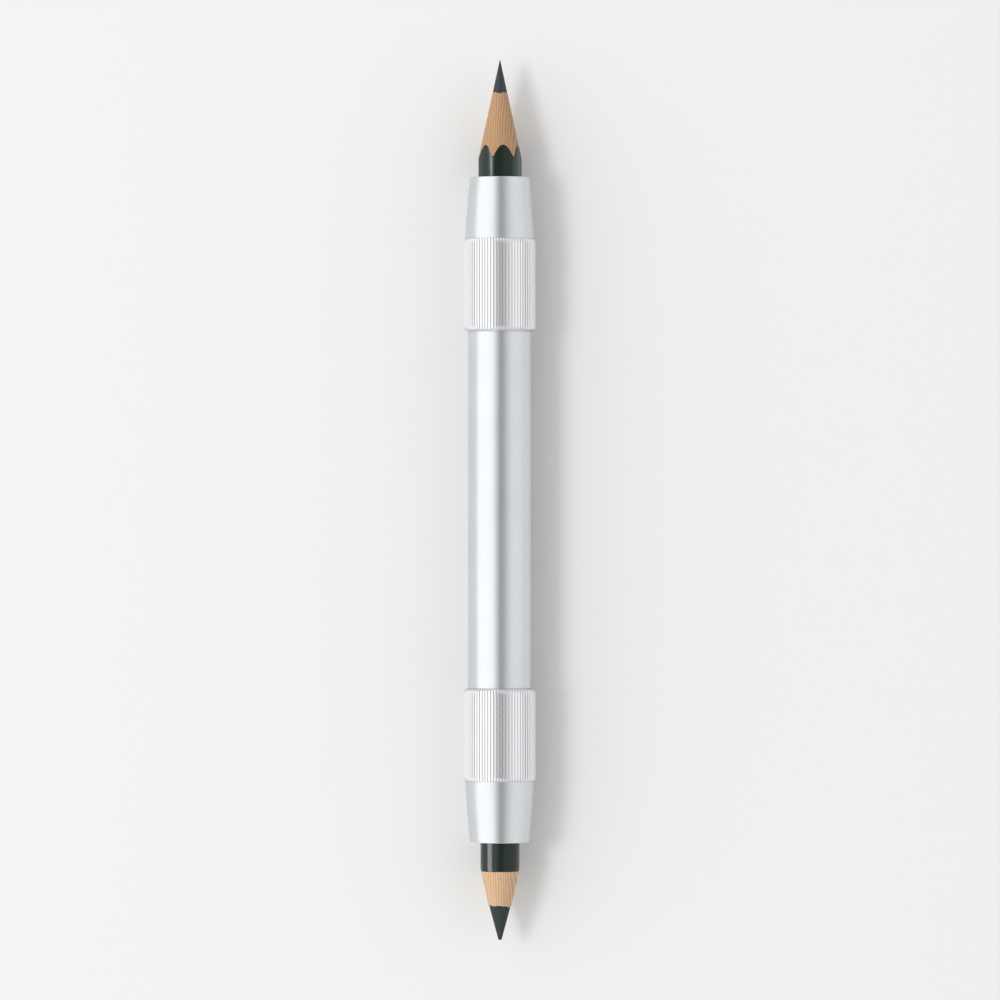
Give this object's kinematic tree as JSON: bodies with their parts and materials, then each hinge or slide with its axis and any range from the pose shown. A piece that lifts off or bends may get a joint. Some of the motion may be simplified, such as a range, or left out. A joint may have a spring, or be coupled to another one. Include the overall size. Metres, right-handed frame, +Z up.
{
  "type": "pencil extender",
  "caption": "Slim double-ended pencil extender: plain metal barrel with a knurled screw sleeve and tapered nose at each end, clamping a short pencil in a slotted collet.",
  "frame": {"origin": "on the surface that the extender lies on, under the middle of its overall length", "axes": "+X along the extender towards the graphite pencil's tip, +Z up, +Y to the left looking along +X"},
  "size_m": [0.1588, 0.0128, 0.0129],
  "materials": {
    "satin_aluminium": "satin anodised, drawn tube",
    "knurled_aluminium": "satin anodised, turned, straight knurl",
    "turned_brass": "turned",
    "black_acetal": "moulded",
    "green_lacquer": "glossy pencil lacquer",
    "cedar": "bare sharpened cedar",
    "graphite": "sharpened graphite, slight sheen",
    "charcoal": "matt pressed charcoal"
  },
  "bodies": {
    "barrel": {"barrel_tube": "satin_aluminium", "front_bush": "turned_brass", "rear_bush": "turned_brass"},
    "front_collet": {"front_collet": "black_acetal"},
    "front_sleeve": {"front_sleeve": "knurled_aluminium"},
    "rear_collet": {"rear_collet": "black_acetal"},
    "rear_sleeve": {"rear_sleeve": "knurled_aluminium"},
    "graphite_pencil": {"graphite_lacquer": "green_lacquer", "graphite_slat_top": "cedar", "graphite_slat_bottom": "cedar", "graphite_lead": "graphite"},
    "charcoal_pencil": {"charcoal_lacquer": "green_lacquer", "charcoal_slat_top": "cedar", "charcoal_slat_bottom": "cedar", "charcoal_core": "charcoal"}
  },
  "joints": [
    {"name": "front_collet_travel", "type": "slide", "parent": "barrel", "child": "front_collet", "axis": [1, 0, 0], "range_m": [0, 0.002]},
    {"name": "front_sleeve_turn", "type": "hinge", "parent": "front_collet", "child": "front_sleeve", "pos_m": [0.05823, 0, 0.00645], "axis": [1, 0, 0], "range_deg": [0, 720]},
    {"name": "rear_collet_travel", "type": "slide", "parent": "barrel", "child": "rear_collet", "axis": [-1, 0, 0], "range_m": [0, 0.002]},
    {"name": "rear_sleeve_turn", "type": "hinge", "parent": "rear_collet", "child": "rear_sleeve", "pos_m": [-0.06177, 0, 0.00645], "axis": [-1, 0, 0], "range_deg": [0, 720]},
    {"name": "graphite_pencil_slide", "type": "slide", "parent": "barrel", "child": "graphite_pencil", "axis": [1, 0, 0], "range_m": [-0.0212, 0.0288]},
    {"name": "charcoal_pencil_slide", "type": "slide", "parent": "barrel", "child": "charcoal_pencil", "axis": [-1, 0, 0], "range_m": [-0.01766, 0.02234]}
  ],
  "couplings": [
    {"joint": "front_collet_travel", "follows": "front_sleeve_turn", "m_per_rad": 0.00015915},
    {"joint": "rear_collet_travel", "follows": "rear_sleeve_turn", "m_per_rad": 0.00015915}
  ]
}
